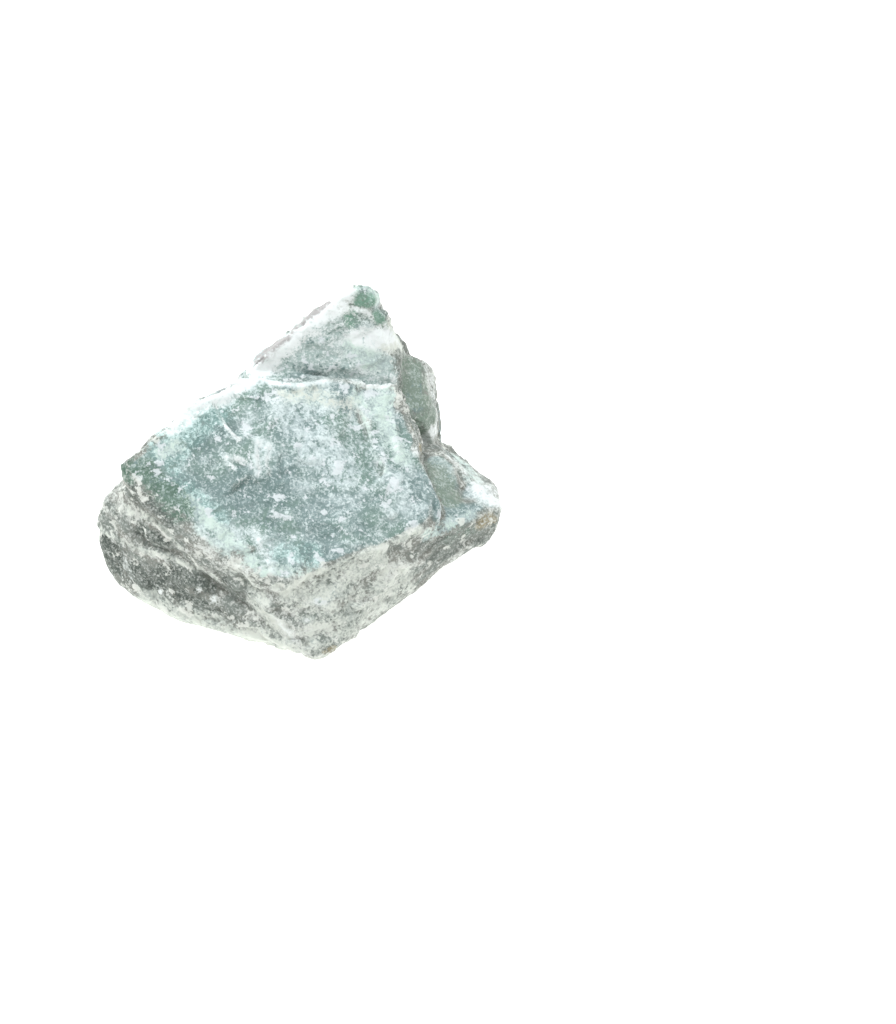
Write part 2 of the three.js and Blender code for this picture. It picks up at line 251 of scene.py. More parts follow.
                     (-18.9, -13.2, 4.3), (-15.8, -15.0, 4.4), (-12.8, -16.3, 4.6)]),
        (2.2, 1.0, [(-23.8, -8.6, 6.4), (-22.6, -9.8, 6.0), (-21.4, -10.9, 5.4)]),
        (2.4, 0.6, [(-12.8, -16.3, 4.2), (-9.8, -18.0, 3.4), (-6.6, -20.0, 2.6)]),
        # Painted shade: this stroke and the next lie in the groove under the bevel's overhanging
        # edge.
        (1.8, 1.0, [(-16.0, -13.8, 6.0), (-13.4, -15.1, 6.0), (-11.6, -15.9, 6.0),
                    (-10.2, -16.6, 5.8)]),
        (1.4, 1.0, [(-19.0, -10.0, 9.1), (-17.6, -10.8, 9.0), (-15.7, -12.0, 8.9)]),
        (1.1, 0.55, [(-8.5, -16.4, 6.9), (-6.2, -18.1, 5.3), (-4.1, -19.9, 4.1),
                     (-2.5, -21.4, 2.6)]),
        (1.8, 0.8, [(-19.6, -7.5, 13.6), (-17.5, -9.2, 12.6), (-15.0, -11.2, 11.6)]),
        (4.0, 0.7, [(8.5, 22.0, 7.0), (13.0, 20.8, 4.0)]),
        (3.5, 0.8, [(-12.5, 11.0, 10.0), (-9.5, 14.0, 11.5)]),
        (2.2, 0.5, [(17.4, -6.8, 5.6), (14.0, -9.4, 6.0)]),
        (1.2, 1.0, [(0.8, -18.6, 6.0), (2.0, -17.8, 6.4)]),
        # Painted shade: the dark hollow between the crest's right edge and the glassy lobe.
        (2.2, 0.65, [(11.2, 15.3, 14.3), (11.4, 14.0, 12.2), (11.4, 10.4, 13.2)]),
        (1.4, 0.8, [(14.6, 5.7, 8.4), (15.0, 1.5, 8.6)]),
    ],
}

# What each zone does to the rock: how much more quartz shows there, and the colours that the
# mica-rich body and the quartz take, by their names as settings. A later row lies on top.
ZONE_FINISHES = (
    ("bevel", -0.1, None, None),
    ("dusk", -0.22, "dusk", None),
    ("mica", -0.1, "mica", None),
    ("aqua", 0.02, "aqua", "aqua_quartz"),
    ("haze", 0.14, "haze", None),
    ("veil", 0.03, "veil", "chalk"),
    ("mint", 0.2, "haze", "mint"),
    ("cream", 0.28, "pale", "cream"),
    ("glassy", -0.06, "bottle", None),
    ("lens", -0.15, "lens", None),
    ("deep", -0.38, "deep", None),
    ("chalk", 0.6, "pale", "chalk"),
    # Painted shade: flat grey over the facets behind the struck edges, with fewer grains showing.
    ("skin", -0.2, "skin", "skin"),
    ("iron", 0.0, "rust", None),
)

# Small steps in the parting face, where one sheet more has come away: how deep, over what
# distance the low side climbs back, and the step's line with the low side on its left.
STEPS = [
    (0.6, 7.0, [(-11.2, 4.6, 17.0), (-10.0, 3.2, 16.7), (-8.8, 1.1, 16.0), (-7.3, -0.7, 15.2)]),
    (0.55, 5.0, [(10.0, -1.8, 11.4), (8.7, 0.1, 12.3), (7.5, 5.3, 13.5), (4.6, 9.6, 15.0)]),
    (0.3, 1.4, [(-5.2, 0.1, 14.9), (-5.4, -2.7, 14.1), (-5.0, -5.0, 13.2)]),
    (0.3, 1.4, [(-4.0, -0.4, 14.5), (-4.2, -3.0, 13.7), (-3.7, -5.3, 12.7)]),
    (0.3, 1.6, [(-2.5, -0.8, 14.1), (-2.7, -3.1, 13.4), (-2.2, -5.0, 12.6)]),
    (0.35, 2.5, [(8.6, -4.5, 11.6), (9.8, -2.6, 11.6), (10.2, -0.2, 11.8)]),
    (0.3, 2.0, [(-8.8, -3.4, 14.3), (-7.4, -4.4, 13.8), (-5.8, -4.2, 13.6)]),
]

# Raised edges, and grooves where the height is below 0: height, width and line.
RIMS = [
    (0.3, 1.1, [(-6.6, 9.6, 16.9), (-4.0, 8.2, 16.9), (-0.4, 8.3, 16.4), (2.6, 10.0, 15.8),
                (4.9, 10.2, 15.2), (10.6, 10.8, 14.3)]),
    (-0.2, 1.0, [(-5.6, 11.4, 16.8), (-2.0, 10.4, 16.4), (2.6, 11.7, 15.6), (5.0, 11.9, 15.0),
                 (10.0, 12.3, 13.8)]),
    (0.35, 0.8, [(16.3, -6.6, 8.9), (14.6, -2.3, 10.2), (13.2, -0.9, 10.8), (12.2, 0.2, 11.2),
                 (11.4, 1.5, 11.7), (11.0, 5.7, 12.6), (11.3, 9.2, 13.6), (11.0, 10.5, 14.0)]),
    (0.15, 0.7, [(-2.4, -18.3, 7.4), (1.4, -16.8, 7.7), (4.9, -14.8, 8.0), (10.1, -11.5, 8.1),
                 (16.3, -7.6, 8.1)]),
    (0.45, 0.8, [(-17.6, -10.9, 9.9), (-14.1, -12.9, 9.5), (-9.8, -15.9, 7.9), (-4.9, -18.2, 6.0),
                 (-0.9, -20.9, 3.6), (1.0, -22.2, 1.8)]),
    (-0.7, 0.9, [(-19.6, -10.4, 8.7), (-17.6, -11.8, 8.4), (-14.1, -13.8, 8.2), (-10.2, -16.4, 6.4),
                 (-5.6, -18.8, 4.6), (-1.8, -21.2, 2.2)]),
    (-0.35, 0.6, [(-1.6, -19.6, 4.6), (0.0, -20.8, 3.2), (1.4, -22.0, 1.6)]),
    (0.8, 1.2, [(-6.4, 12.0, 17.2), (-3.6, 15.0, 18.5), (-1.0, 17.2, 19.8), (1.6, 19.3, 20.9)]),
    (-0.4, 1.5, [(6.3, 18.4, 22.0), (7.6, 18.4, 22.0)]),
    (-0.3, 1.3, [(5.5, 17.1, 20.6), (5.7, 16.7, 19.8)]),
    (-0.7, 1.1, [(5.5, 20.0, 23.8), (5.5, 19.6, 23.6)]),
    (-0.6, 1.1, [(8.2, 19.9, 23.7), (8.2, 19.5, 23.5)]),
    (0.2, 1.2, [(6.7, 20.1, 23.8), (7.0, 19.5, 23.6)]),
    (-0.35, 1.2, [(9.0, 18.1, 19.5), (9.7, 18.0, 18.2)]),
]

# Chips along the sharp edges: how wide apart, how deep, and a seed.
EDGE_CHIPS = ((3.4, 0.7, 7), (1.3, 0.35, 8))

# The width over which the rims' height comes and goes, and a seed.
RIM_WANDER = (1.6, 5)

# The sizes that shape the relief, by their names as settings.
RELIEF_SIZES = ("Lump width", "Lump height", "Facet width", "Facet slope", "Ledge spacing",
                "Ledge height", "Chip width", "Chip depth", "Grain width", "Grain height")


def linear(hex_colour):
    """A colour from its sRGB hex value, as the linear colour that a shader takes."""
    shares = [int(hex_colour[i:i + 2], 16) / 255 for i in (1, 3, 5)]
    return [s / 12.92 if s <= 0.04045 else ((s + 0.055) / 1.055) ** 2.4 for s in shares] + [1.0]


def add(tree, kind, inputs=None, **settings):
    """Adds a node with its settings. An input is a value, or a node or an output to link to it."""
    node = tree.nodes.new(kind)
    for name, value in settings.items():
        setattr(node, name, value)
    for key, value in (inputs or {}).items():
        if isinstance(value, bpy.types.Node):
            value = next(output for output in value.outputs if output.enabled)
        if isinstance(value, bpy.types.NodeSocket):
            tree.links.new(value, node.inputs[key])
        else:
            node.inputs[key].default_value = value
    return node


def total(tree, first, *terms):
    """The first value plus every other value times its share."""
    for value, share in terms:
        first = add(tree, "ShaderNodeMath", {0: value, 1: share, 2: first},
                    operation="MULTIPLY_ADD")
    return first


def lay(tree, under, over, where, low, high, most=1.0):
    """Lays one colour over another, from none of it where a field is low to the most where high."""
    share = add(tree, "ShaderNodeMapRange", {"Value": where, 1: low, 2: high, 4: most},
                interpolation_type="SMOOTHSTEP")
    return add(tree, "ShaderNodeMix", {0: share, 6: under, 7: over}, data_type="RGBA")


# ---- settings ----------------------------------------------------------------------------------


class QuartzStone(bpy.types.PropertyGroup):
    """The stone's net, the sizes of its relief, and its colours as sRGB hex values"""

    fineness: bpy.props.FloatProperty(
        name="Fineness", description="Size of the net's squares before it is thinned",
        default=0.22 * MM, unit="LENGTH", precision=5)
    triangles: bpy.props.IntProperty(
        name="Triangles", description="The finished mesh is thinned to this many", default=190000)
    lump_width: bpy.props.FloatProperty(
        name="Lump width", description="Spacing of the broad swells of a broken face",
        default=6.5 * MM, unit="LENGTH", precision=5)
    lump_height: bpy.props.FloatProperty(
        name="Lump height", description="Height of the broad swells", default=0.35 * MM,
        unit="LENGTH", precision=5)
    facet_width: bpy.props.FloatProperty(
        name="Facet width", description="Width of the small flat breaks", default=4.2 * MM,
        unit="LENGTH", precision=5)
    facet_slope: bpy.props.FloatProperty(
        name="Facet slope", description="Rise over run by which a small flat break is tilted",
        default=0.12)
    ledge_spacing: bpy.props.FloatProperty(
        name="Ledge spacing", description="Thickness of the sheets that the stone splits into",
        default=1.7 * MM, unit="LENGTH", precision=5)
    ledge_height: bpy.props.FloatProperty(
        name="Ledge height", description="How far a sheet's edge stands out of a side",
        default=0.17 * MM, unit="LENGTH", precision=5)
    chip_width: bpy.props.FloatProperty(
        name="Chip width", description="Width of the small scoops left by chips",
        default=3.0 * MM, unit="LENGTH", precision=5)
    chip_depth: bpy.props.FloatProperty(
        name="Chip depth", description="Depth of the small scoops", default=0.2 * MM,
        unit="LENGTH", precision=5)
    grain_width: bpy.props.FloatProperty(
        name="Grain width", description="Size of a quartz grain on the surface",
        default=0.7 * MM, unit="LENGTH", precision=5)
    grain_height: bpy.props.FloatProperty(
        name="Grain height", description="How far a grain stands out", default=0.07 * MM,
        unit="LENGTH", precision=5)
    teal: bpy.props.StringProperty(
        name="Parting face", description="Mica-rich body of the parting faces", default="#687e7c")
    green: bpy.props.StringProperty(
        name="Green drift", description="Greener drifts in the body", default="#6b847a")
    haze: bpy.props.StringProperty(
        name="Hazy patches", description="Body where fine quartz clouds it", default="#9dacac")
    veil: bpy.props.StringProperty(
        name="Veiled mica", description="Mica clouded by fine quartz", default="#9aaca7")
    bruise: bpy.props.StringProperty(
        name="Bruise marks", description="Small crushed patches", default="#d0d6d7")
    scuff: bpy.props.StringProperty(
        name="Scuffs on sides", description="Small crushed patches across the sheets",
        default="#d2d5cd")
    grey: bpy.props.StringProperty(
        name="Broken side", description="Mica-rich body across the sheets", default="#6f7770")
    brown: bpy.props.StringProperty(
        name="Brown seam", description="Mica-rich body in the seams", default="#7b7d75")
    mica: bpy.props.StringProperty(
        name="Blue-green mica", description="Body where blue-green mica lies thick",
        default="#5c7471")
    aqua: bpy.props.StringProperty(
        name="Bright blue-green", description="Body of blue-green mica under clear quartz",
        default="#6b8a85")
    aqua_quartz: bpy.props.StringProperty(
        name="Blue-green quartz", description="Quartz over blue-green mica", default="#c4dad6")
    pale: bpy.props.StringProperty(
        name="Pale body", description="Body under the creamy and the bruised quartz",
        default="#a3aaa3")
    # Also the colour of the painted shade under the bevel's edge and beside the glassy lobe.
    dusk: bpy.props.StringProperty(
        name="Dark blotches and shade", description="Body where mica lies thick, and painted shade", default="#454f47")
    lens: bpy.props.StringProperty(
        name="Clear green", description="Clear green quartz in the steps", default="#668c79")
    # Flat grey painted shade for facets turned away from the light.
    skin: bpy.props.StringProperty(
        name="Painted shade", description="Grey painted as shade on a facet turned away", default="#9d9b99")
    deep: bpy.props.StringProperty(
        name="Deep green", description="Body where green mica lies thick", default="#4f6b5b")
    bottle: bpy.props.StringProperty(
        name="Glassy green", description="Clear quartz seen into", default="#728375")
    speck: bpy.props.StringProperty(
        name="Quartz on top", description="Quartz on the parting faces", default="#ccd8d6")
    speck_side: bpy.props.StringProperty(
        name="Quartz on sides", description="Quartz across the sheets", default="#ced2cc")
    # Also the colour of the painted highlight on the backlit edges and of a painted-light spot.
    chalk: bpy.props.StringProperty(
        name="Bruised quartz and highlight", description="Crushed white edges and scars, and painted highlight", default="#dfe4e2")
    mint: bpy.props.StringProperty(
        name="Mint quartz", description="Pale quartz clear of mica", default="#c4d5cb")
    # Also the colour of the painted highlight along the slab's front edge.
    cream: bpy.props.StringProperty(
        name="Creamy quartz and highlight", description="Warm pale quartz, and painted highlight on the slab's front edge", default="#cdd2c8")
    rust: bpy.props.StringProperty(
        name="Rust", description="Iron stain in the seams", default="#8a8266")


class QuartzStage(bpy.types.PropertyGroup):
    """The table, the light and the camera"""

    floor_size: bpy.props.FloatProperty(
        name="Table size", description="Side of the square table top", default=3.0, unit="LENGTH")
    floor_colour: bpy.props.StringProperty(
        name="Table colour", description="Colour of the table top", default="#f6f6f5")
    floor_glow: bpy.props.FloatProperty(
        name="Table glow", description="Light that comes up through the white table",
        default=0.75)
    sky: bpy.props.FloatProperty(
        name="Room light", description="Strength of the even light all round", default=0.85)
    camera_height: bpy.props.FloatProperty(
        name="Camera height angle", description="Angle of the camera above the table",
        default=math.radians(40), unit="ROTATION")
    camera_distance: bpy.props.FloatProperty(
        name="Camera distance", description="From the camera to the point it looks at",
        default=0.352, unit="LENGTH")
    lens: bpy.props.FloatProperty(
        name="Lens", description="Focal length in millimetres", default=100.0)


# ---- the stone -----------------------------------------------------------------------------------


def remeshed(source, fineness):
    """The CAD solid as an even net of small squares, fine enough to carry the relief."""
    mesh = source.data.copy()
    net = bmesh.new()
    net.from_mesh(mesh)
    bmesh.ops.remove_doubles(net, verts=net.verts, dist=1e-7)
    net.to_mesh(mesh)
    net.free()
    mesh.materials.clear()
    stone = bpy.data.objects.new("raw_green_quartz", mesh)
    bpy.context.scene.collection.objects.link(stone)
    remesh = stone.modifiers.new("net", "REMESH")
    remesh.mode = "VOXEL"
    remesh.voxel_size = fineness
    settle(stone)
    keep_largest(stone.data)
    return stone


def keep_largest(mesh):
    """Leaves only the mesh's largest connected part, without small closed hollows inside it."""
    net = bmesh.new()
    net.from_mesh(mesh)
    parts, seen = [], set()
    for first in net.verts:
        if first in seen:
            continue
        seen.add(first)
        part = [first]
        for point in part:
            for edge in point.link_edges:
                other = edge.other_vert(point)
                if other not in seen:
                    seen.add(other)
                    part.append(other)
        parts.append(part)
    parts.sort(key=len)
    bmesh.ops.delete(net, geom=[point for part in parts[:-1] for point in part], context="VERTS")
    net.to_mesh(mesh)
    net.free()


def triangles(mesh):
    """How many triangles the mesh has."""
    return sum(len(face.vertices) - 2 for face in mesh.polygons)


def settle(stone):
    """Makes the result of the stone's modifiers its mesh, and takes the modifiers off."""
    result = stone.evaluated_get(bpy.context.evaluated_depsgraph_get())
    mesh = bpy.data.meshes.new_from_object(result)
    stone.modifiers.clear()
    stone.data = mesh


def read(mesh, part, name, width):
    """One property of a mesh's points or edges as a table of that many columns."""
    table = np.zeros(len(part) * width, np.int32 if name == "vertices" else np.float32)
    part.foreach_get(name, table)
    return table.reshape(-1, width)


def net_of(mesh):
    """A mesh's points in millimetres, and the two points of each of its edges."""
    points = read(mesh, mesh.vertices, "co", 3).astype(float) / MM
    return points, read(mesh, mesh.edges, "vertices", 2)


def move(mesh, points):
    """Puts a mesh's points at these places, in millimetres."""
    mesh.vertices.foreach_set("co", (points * MM).astype(np.float32).ravel())
    mesh.update()


def blurred(values, edges, passes):
    """Each point's values drawn towards the mean of its neighbours', that many times."""
    count = len(values)
    ends = np.concatenate([edges[:, 0], edges[:, 1]])
    others = np.concatenate([edges[:, 1], edges[:, 0]])
    neighbours = np.maximum(np.bincount(ends, minlength=count), 1)
    for _ in range(passes):
        values = np.stack([
            0.5 * column + 0.5 * np.bincount(ends, column[others], count) / neighbours
            for column in values.T], axis=1)
    return values


def nearest(points, line):
    """For each point, its distance to the line, its side (1 on the left) and the share along."""
    line = np.array(line, float)
    if len(line) == 1:
        line = np.repeat(line, 2, axis=0)
    up = np.array(ACROSS_SHEETS)
    best = np.full(len(points), np.inf)
    side = np.zeros(len(points))
    share = np.zeros(len(points))
    for number, (start, end) in enumerate(zip(line[:-1], line[1:])):
        along = end - start
        part = np.clip(((points - start) @ along) / max(along @ along, 1e-9), 0, 1)
        away = points - start - part[:, None] * along
        distance = np.linalg.norm(away, axis=1)
        closer = distance < best
        best = np.where(closer, distance, best)
        length = max(np.linalg.norm(along), 1e-9)
        side = np.where(closer, away @ np.cross(up, along) / length, side)
        share = np.where(closer, (number + part) / (len(line) - 1), share)
    return best, side, share


def smooth(low, high, values):
    """0 below low and 1 above high, with a soft climb between."""
    t = np.clip((values - low) / (high - low), 0, 1)
    return t * t * (3 - 2 * t)


def wobble(points, width, seed):
    """A smooth random field from 0 to 1 that changes over that width, at each point."""
    table = np.random.default_rng(seed).random((16, 16, 16))
    cell = np.floor(points / width).astype(int)
    part = smooth(0, 1, points / width - cell)
    value = np.zeros(len(points))
    for corner in np.ndindex(2, 2, 2):
        x, y, z = ((cell + corner) % 16).T
        value += np.prod(np.where(corner, part, 1 - part), axis=1) * table[x, y, z]
    return value


def sculpt(stone):
    """Softens the net's flat cuts, works in the steps, rims and grooves, and chips the edges."""
    points, edges = net_of(stone.data)
    points = blurred(points, edges, ROUNDING_PASSES)
    normals = read(stone.data, stone.data.vertex_normals, "vector", 3).astype(float)
    outwards = blurred(normals, edges, OUTWARD_PASSES)
    outwards /= np.linalg.norm(outwards, axis=1, keepdims=True)
    up = np.array(ACROSS_SHEETS)

    # A step fades towards both of its ends.
    for depth, climb, line in STEPS:
        away, side, share = nearest(points, line)
        taper = smooth(0, 0.25, share) * (1 - smooth(0.75, 1, share))
        near = 1 - smooth(0.2 * climb, climb, away)
        points -= np.outer(depth * smooth(-0.1, 0.3, side) * near * taper, up)

    # A rim's height comes and goes between 0.3 and 1.7 times its own.
    for height, width, line in RIMS:
        away, _, share = nearest(points, line)
        uneven = height * (0.3 + 1.4 * wobble(points, *RIM_WANDER))
        points += (uneven * np.exp(-((away / (0.6 * width)) ** 2)))[:, None] * outwards

    # Only the edges that stand well out of the faces beside them are chipped.
    proud = np.einsum("ij,ij->i", points - blurred(points, edges, WIDE_PASSES), outwards)
    for width, depth, seed in EDGE_CHIPS:
        bite = depth * smooth(0.05, 0.25, proud) * smooth(0.5, 0.75, wobble(points, width, seed))
        points -= bite[:, None] * outwards

    move(stone.data, points)


def blunt(stone):
    """Draws in the points that stand out as thin needles, which no broken edge keeps."""
    points, edges = net_of(stone.data)
    drawn_in = blurred(points, edges, NEEDLE_PASSES)
    needle = smooth(*NEEDLE, np.linalg.norm(points - drawn_in, axis=1))
    points += needle[:, None] * (drawn_in - points)
    move(stone.data, points)


def mark(stone):
    """Writes on the mesh each zone's strength, how far a point's face is a parting face or looks
    to the back, and how far the point stands out of its neighbourhood, near and wide."""
    mesh = stone.data
    points, edges = net_of(mesh)
    normals = read(mesh, mesh.vertex_normals, "vector", 3).astype(float)
    facing = blurred(normals, edges, WIDE_PASSES)
    # A parting face leans less than 18 degrees off the sheets, and a broken side more than 30.
    marks = {
        "parting": smooth(0.87, 0.95, facing @ np.array(ACROSS_SHEETS)),
        "back": smooth(0.0, 0.5, facing[:, 1]),
    }
    for name, passes in (("arris", NEAR_PASSES), ("proud", WIDE_PASSES)):
        marks[name] = np.einsum("ij,ij->i", points - blurred(points, edges, passes), normals)
    for zone, strokes in ZONES.items():
        marks[zone] = np.zeros(len(points))
        for reach, strength, line in strokes:
            away, _, _ = nearest(points, line)
            stroke = strength * (1 - smooth(0.1 * reach, reach, away))
            marks[zone] = np.maximum(marks[zone], stroke)

    # The bevel is no parting face, wherever it looks. The chalk, partly a painted highlight of the
    # edges lit from behind, is fainter on faces that look to the back.
    marks["parting"] = np.maximum(marks["parting"], marks.pop("parted")) * (1 - marks["bevel"])
    marks["chalk"] *= 1 - 0.7 * marks["back"]

    for name, values in marks.items():
        attribute = mesh.attributes.get(name) or mesh.attributes.new(name, "FLOAT", "POINT")
        attribute.data.foreach_set("value", values.astype(np.float32))


def relief_tree(sizes):
    """Geometry Nodes that break up the surface: swells, flat breaks, sheet edges, scars, grain."""
    tree = bpy.data.node_groups.new("broken surface", "GeometryNodeTree")
    tree.interface.new_socket("Geometry", in_out="OUTPUT", socket_type="NodeSocketGeometry")
    tree.interface.new_socket("Geometry", in_out="INPUT", socket_type="NodeSocketGeometry")
    for name in sizes:
        tree.interface.new_socket(name, in_out="INPUT", socket_type="NodeSocketFloat")
    tree.interface.new_socket("Quartzite", in_out="INPUT", socket_type="NodeSocketMaterial")
    given = {socket.name: socket for socket in add(tree, "NodeGroupInput").outputs}
    at = add(tree, "GeometryNodeInputPosition")
    outwards = add(tree, "GeometryNodeInputNormal")
    marked = {name: add(tree, "GeometryNodeInputNamedAttribute", {"Name": name})
              for name in ("glassy", "parting", "back")}

    # All relief is lower on glassy rock, and the broad relief is lower on a parting face and
    # higher on the back.
    calm = total(tree, 1.0, (marked["glassy"], -0.6))
    level = total(tree, 1.0, (marked["parting"], -0.5), (marked["back"], 0.7))

    # Coordinates drawn out across the sheets, so that a pattern lies flat along them.
    across = add(tree, "ShaderNodeVectorMath", {0: at, 1: ACROSS_SHEETS}, operation="DOT_PRODUCT")
    height = across.outputs["Value"]
    drawn = add(tree, "ShaderNodeVectorMath", {0: ACROSS_SHEETS, "Scale": height},
                operation="SCALE")
    sheets = add(tree, "ShaderNodeVectorMath", {0: drawn, 1: (1.4, 1.4, 1.4), 2: at},
                 operation="MULTIPLY_ADD")

    # Smooth fields. Each lies in a space, is as wide as a share of a size, and is shifted so that
    # no two are alike.
    noise = {}
    for name, space, size, share, detail, shift in (
        ("swell", at, "Lump width", 1.0, 2.0, 0.31),
        ("ledged", at, "Lump width", 1.0, 1.0, 0.13),
        ("scarred", at, "Lump width", 1.0, 1.0, 0.91),
        ("wide", at, "Facet width", 1.0, 2.0, 0.05),
        ("small", at, "Facet width", 0.42, 2.0, 0.23),
        ("wander", at, "Ledge spacing", 2.6, 3.0, 0.77),
        ("chip", at, "Chip width", 1.0, 2.0, 0.5),
        ("grain", sheets, "Grain width", 1.0, 2.0, 0.2),
    ):
        scale = add(tree, "ShaderNodeMath", {0: 1 / share, 1: given[size]}, operation="DIVIDE")
        moved = add(tree, "ShaderNodeVectorMath", {0: space, 1: (shift, shift, shift)})
        noise[name] = add(tree, "ShaderNodeTexNoise",
                          {"Vector": moved, "Scale": scale, "Detail": detail})

    # Cells for the flat breaks, wide and small, and for the chip scars, with ragged borders.
    cells = {}
    for name, size, share, shift, softness in (
        ("wide", "Facet width", 1.0, 0.05, 0.12),
        ("small", "Facet width", 0.42, 0.23, 0.12),
        ("chip", "Chip width", 1.0, 0.0, 0.02),
    ):
        width = total(tree, 0.0, (given[size], share))
        scale = add(tree, "ShaderNodeMath", {0: 1.0, 1: width}, operation="DIVIDE")
        stray = add(tree, "ShaderNodeVectorMath",
                    {0: noise[name].outputs["Color"], "Scale": total(tree, 0.0, (width, 0.8))},
                    operation="SCALE")
        moved = add(tree, "ShaderNodeVectorMath", {0: sheets, 1: (shift, shift, shift)})
        space = add(tree, "ShaderNodeVectorMath", {0: moved, 1: stray})
        cell = add(tree, "ShaderNodeTexVoronoi",
                   {"Vector": space, "Scale": scale, "Smoothness": softness},
                   feature="SMOOTH_F1")
        cells[name] = (space, cell.outputs)

    # A flat break is a cell tilted its own way. A chip scar is a shallow bowl, and the bowls meet
    # in sharp ridges.
    rise = {}
    for name in ("wide", "small"):
        space, cell = cells[name]
        tilt = add(tree, "ShaderNodeVectorMath", {0: cell["Color"], 1: (0.5, 0.5, 0.5)},
                   operation="SUBTRACT")
        place = add(tree, "ShaderNodeVectorMath", {0: space, 1: cell["Position"]},
                    operation="SUBTRACT")
        slope = add(tree, "ShaderNodeVectorMath", {0: place, 1: tilt}, operation="DOT_PRODUCT")
        rise[name] = slope.outputs["Value"]
    distance = cells["chip"][1]["Distance"]
    rise["chip"] = total(tree, -0.25, (distance, distance))

    # Ledges, thin and thick: a saw tooth up the sheets, with the edges' heights wandering.
    for name, share, drift in (("thin", 1.0, 3.4), ("thick", 3.3, 1.3)):
        spacing = total(tree, 0.0, (given["Ledge spacing"], share))
        count = add(tree, "ShaderNodeMath", {0: height, 1: spacing}, operation="DIVIDE")
        tooth = add(tree, "ShaderNodeMath", {0: total(tree, count, (noise["wander"], drift))},
                    operation="FRACT")
        climb = add(tree, "ShaderNodeMapRange", {"Value": tooth, 1: 0.0, 2: 0.2},
                    interpolation_type="SMOOTHSTEP")
        rise[name] = total(tree, climb, (tooth, -1.0))

    # Where the ledges and the scars are strong, and where they fade.
    patchy = {
        name: add(tree, "ShaderNodeMapRange",
                  {"Value": noise[name], 1: low, 2: high, 3: least, 4: most},
                  interpolation_type="SMOOTHSTEP")
        for name, low, high, least, most in (
            ("ledged", 0.42, 0.62, 0.35, 1.3), ("scarred", 0.4, 0.65, 0.1, 1.3))}

    # The surface is pushed out by one kind of relief after another: its rise, and what scales it.
    geometry = given["Geometry"]
    for push, *shares in (
        (total(tree, -1.0, (noise["swell"], 2.0)), given["Lump height"], level),
        (rise["wide"], given["Facet slope"], 1.7, level),
        (rise["thin"], given["Ledge height"], patchy["ledged"]),
        (rise["thick"], given["Ledge height"], 2.6, patchy["scarred"], marked["back"]),
        (rise["chip"], given["Chip depth"], patchy["scarred"]),
        (rise["small"], given["Facet slope"]),
        (total(tree, -1.0, (noise["grain"], 2.0)), given["Grain height"]),
    ):
        for share in (*shares, calm):
            push = total(tree, 0.0, (push, share))
        offset = add(tree, "ShaderNodeVectorMath", {0: outwards, "Scale": push}, operation="SCALE")
        geometry = add(tree, "GeometryNodeSetPosition", {"Geometry": geometry, "Offset": offset})

    # Nothing goes below the resting face.
    parts = add(tree, "ShaderNodeSeparateXYZ", {0: at}).outputs
    floor = add(tree, "ShaderNodeMath", {0: parts[2], 1: 0.0}, operation="MAXIMUM")
    standing = add(tree, "ShaderNodeCombineXYZ", {0: parts[0], 1: parts[1], 2: floor})
    geometry = add(tree, "GeometryNodeSetPosition", {"Geometry": geometry, "Position": standing})

    geometry = add(tree, "GeometryNodeRealizeInstances", {"Geometry": geometry})
    geometry = add(tree, "GeometryNodeSetShadeSmooth", {"Geometry": geometry})
    geometry = add(tree, "GeometryNodeSetMaterial",
                   {"Geometry": geometry, "Material": given["Quartzite"]})
    add(tree, "NodeGroupOutput", {"Geometry": geometry})
    return tree


